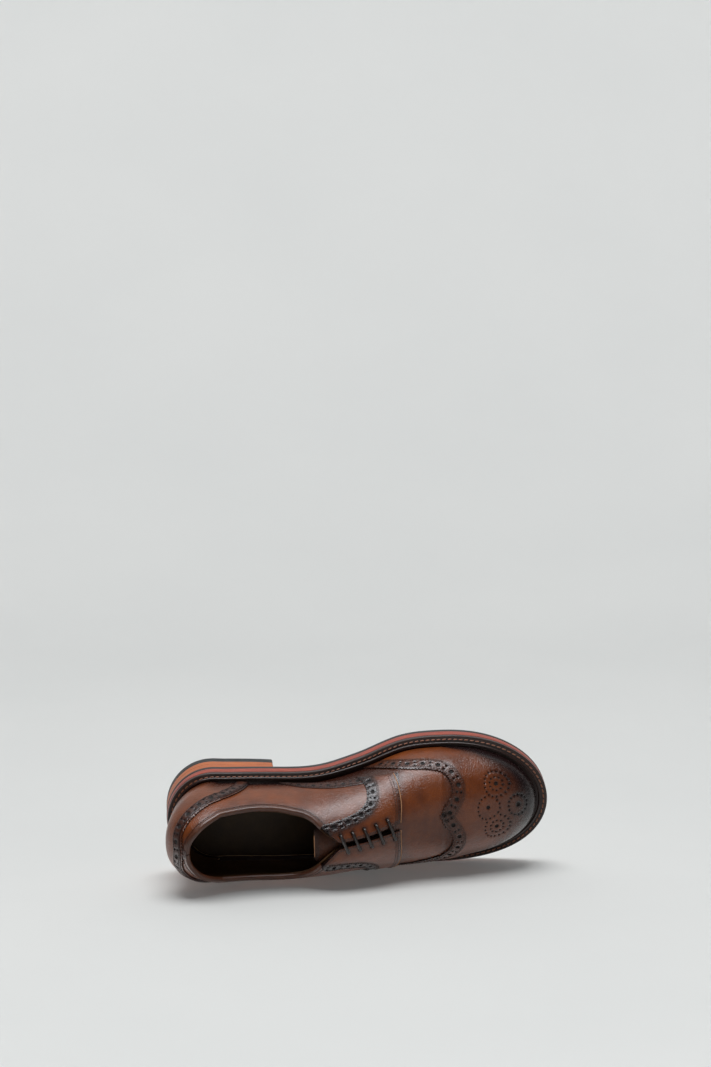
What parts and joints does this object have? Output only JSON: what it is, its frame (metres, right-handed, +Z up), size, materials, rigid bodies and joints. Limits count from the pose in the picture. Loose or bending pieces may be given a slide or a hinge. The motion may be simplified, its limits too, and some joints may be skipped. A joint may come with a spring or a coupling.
{
  "type": "brogue derby shoe",
  "caption": "Welted leather wingtip brogue with open lacing over a tongue, stacked heel and rubber outsole, right foot.",
  "frame": {"origin": "centre of the shoe's bounding box at ground level", "axes": "+Z up, +Y along the length from toe to heel, +X towards the inner (medial) side of the foot"},
  "size_m": [0.1104, 0.308, 0.0977],
  "materials": {
    "sole_rubber": "matt black",
    "stacked_leather": "burnished edge",
    "nail_brass": "plain",
    "midsole_leather": "red-brown stained edge",
    "welt_leather": "dark stained",
    "thread": "waxed tan thread",
    "cork": "cork and binder, stands in as leather",
    "shank_steel": "plain",
    "insole_leather": "natural",
    "lining_leather": "matt dark brown",
    "stiffener": "unfinished",
    "upper_leather": "grained, waxed",
    "dark_leather": "grained, burnished darker",
    "lace_cotton": "round waxed cotton"
  },
  "bodies": {
    "shoe": {"heel_top_piece": "sole_rubber", "heel_lift_lower": "stacked_leather", "heel_lift_upper": "stacked_leather", "heel_nails": "nail_brass", "outsole": "sole_rubber", "midsole": "midsole_leather", "welt": "welt_leather", "welt_stitches": "thread", "cork_filler": "cork", "shank": "shank_steel", "insole": "insole_leather", "sock_lining": "lining_leather", "vamp_lining": "lining_leather", "medial_quarter_lining": "lining_leather", "lateral_quarter_lining": "lining_leather", "heel_counter": "stiffener", "toe_puff": "stiffener", "vamp": "upper_leather", "wing_cap": "dark_leather", "medial_quarter": "upper_leather", "lateral_quarter": "upper_leather", "medial_facing": "dark_leather", "lateral_facing": "dark_leather", "heel_foxing": "dark_leather", "collar_piping": "dark_leather", "lace": "lace_cotton"},
    "tongue": {"tongue": "upper_leather", "tongue_lining": "lining_leather"}
  },
  "joints": [
    {"name": "tongue_hinge", "type": "hinge", "parent": "shoe", "child": "tongue", "pos_m": [-0.005, -0.0515, 0.05], "axis": [1, 0, 0], "range_deg": [-14, 0], "stiffness_Nm_per_rad": 0.05, "springref_deg": 8.59}
  ]
}
